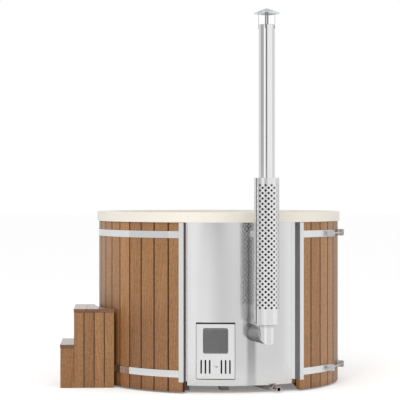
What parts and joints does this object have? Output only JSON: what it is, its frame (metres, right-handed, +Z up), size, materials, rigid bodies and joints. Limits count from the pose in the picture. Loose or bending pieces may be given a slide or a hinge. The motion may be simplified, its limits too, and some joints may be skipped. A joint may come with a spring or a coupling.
{
  "type": "wooden hot tub",
  "caption": "Round open hot tub: upright boards and steel bands round a moulded bath with a bench, a built-in wood stove with a drop-down door, an outside chimney and loose steps.",
  "frame": {"origin": "on the ground at the centre of the tub, on the underside of the middle bearer", "axes": "+Z up, -Y towards the stove side that faces the picture, +X to the right of someone who looks at that side"},
  "size_m": [1.8954, 1.8727, 2.415],
  "materials": {
    "wood_cladding": "oiled, fine straight grain",
    "structure_wood": "planed, untreated",
    "insulation_foam": "closed-cell board",
    "liner_shell": "smooth gel coat",
    "stainless_steel": "fine upright brushing",
    "band_steel": "bright rolled strip",
    "lock_steel": "zinc plated",
    "flue_steel": "bright rolled sheet",
    "guard_steel": "perforated sheet",
    "dark_steel": "heat-proof dark grey",
    "grate_iron": "as cast",
    "rope_seal": "woven glass rope",
    "grille_plastic": "moulded",
    "pipe_rubber": "smooth",
    "valve_plating": "nickel plated",
    "red_paint": "dipped coating",
    "door_glass": "smoked by the fire"
  },
  "bodies": {
    "tub": {"base_bearers": "structure_wood", "floor_plate": "structure_wood", "floor_insulation": "insulation_foam", "liner": "liner_shell", "drain_strainer": "stainless_steel", "support_rings": "structure_wood", "opening_posts": "structure_wood", "panel_header": "dark_steel", "staves_left": "wood_cladding", "staves_back": "wood_cladding", "staves_right": "wood_cladding", "upper_band": "band_steel", "lower_band": "band_steel", "upper_lock_brackets": "lock_steel", "lower_lock_brackets": "lock_steel", "lock_bolts": "lock_steel", "lock_nuts": "lock_steel", "band_rivets": "lock_steel", "trim_left": "stainless_steel", "trim_right": "stainless_steel", "front_panel": "stainless_steel", "stove_body": "dark_steel", "hearth_plate": "insulation_foam", "fire_grate": "grate_iron", "ash_pan": "dark_steel", "door_collar": "dark_steel", "door_gasket": "rope_seal", "hinge_arms": "stainless_steel", "water_pipes": "stainless_steel", "inlet_grilles": "grille_plastic", "flue_elbow": "flue_steel", "flue_pipe_lower": "flue_steel", "flue_pipe_upper": "flue_steel", "chimney_guard": "guard_steel", "guard_spacers": "stainless_steel", "guard_bracket": "stainless_steel", "cap_legs": "flue_steel", "rain_cap": "flue_steel", "drain_tail": "grille_plastic", "drain_pipe": "pipe_rubber", "pipe_clamps": "lock_steel", "valve_body": "valve_plating"},
    "door": {"door_plate": "stainless_steel", "door_glass": "door_glass", "glass_frame": "dark_steel", "slide_rails": "dark_steel"},
    "air_slide": {"air_slide_plate": "dark_steel", "air_knob": "lock_steel"},
    "valve_lever": {"valve_ball": "valve_plating", "valve_handle": "red_paint", "handle_nut": "lock_steel"},
    "steps": {"step_treads": "wood_cladding", "step_risers": "wood_cladding", "step_side_front": "wood_cladding", "step_side_back": "wood_cladding", "step_frame": "structure_wood"}
  },
  "joints": [
    {"name": "door_hinge", "type": "hinge", "parent": "tub", "child": "door", "pos_m": [-0.06606, -0.75512, 0.101], "axis": [0.9962, -0.0872, 0], "range_deg": [0, 90]},
    {"name": "air_slide", "type": "slide", "parent": "door", "child": "air_slide", "axis": [0.9962, -0.0872, 0], "range_m": [0, 0.0135]},
    {"name": "valve_turn", "type": "hinge", "parent": "tub", "child": "valve_lever", "pos_m": [0.3258, -0.73175, 0.045], "axis": [0, 0, 1], "range_deg": [0, 90]},
    {"name": "steps_slide", "type": "slide", "parent": "tub", "child": "steps", "axis": [-1, 0, 0], "range_m": [0, 0.4]}
  ]
}
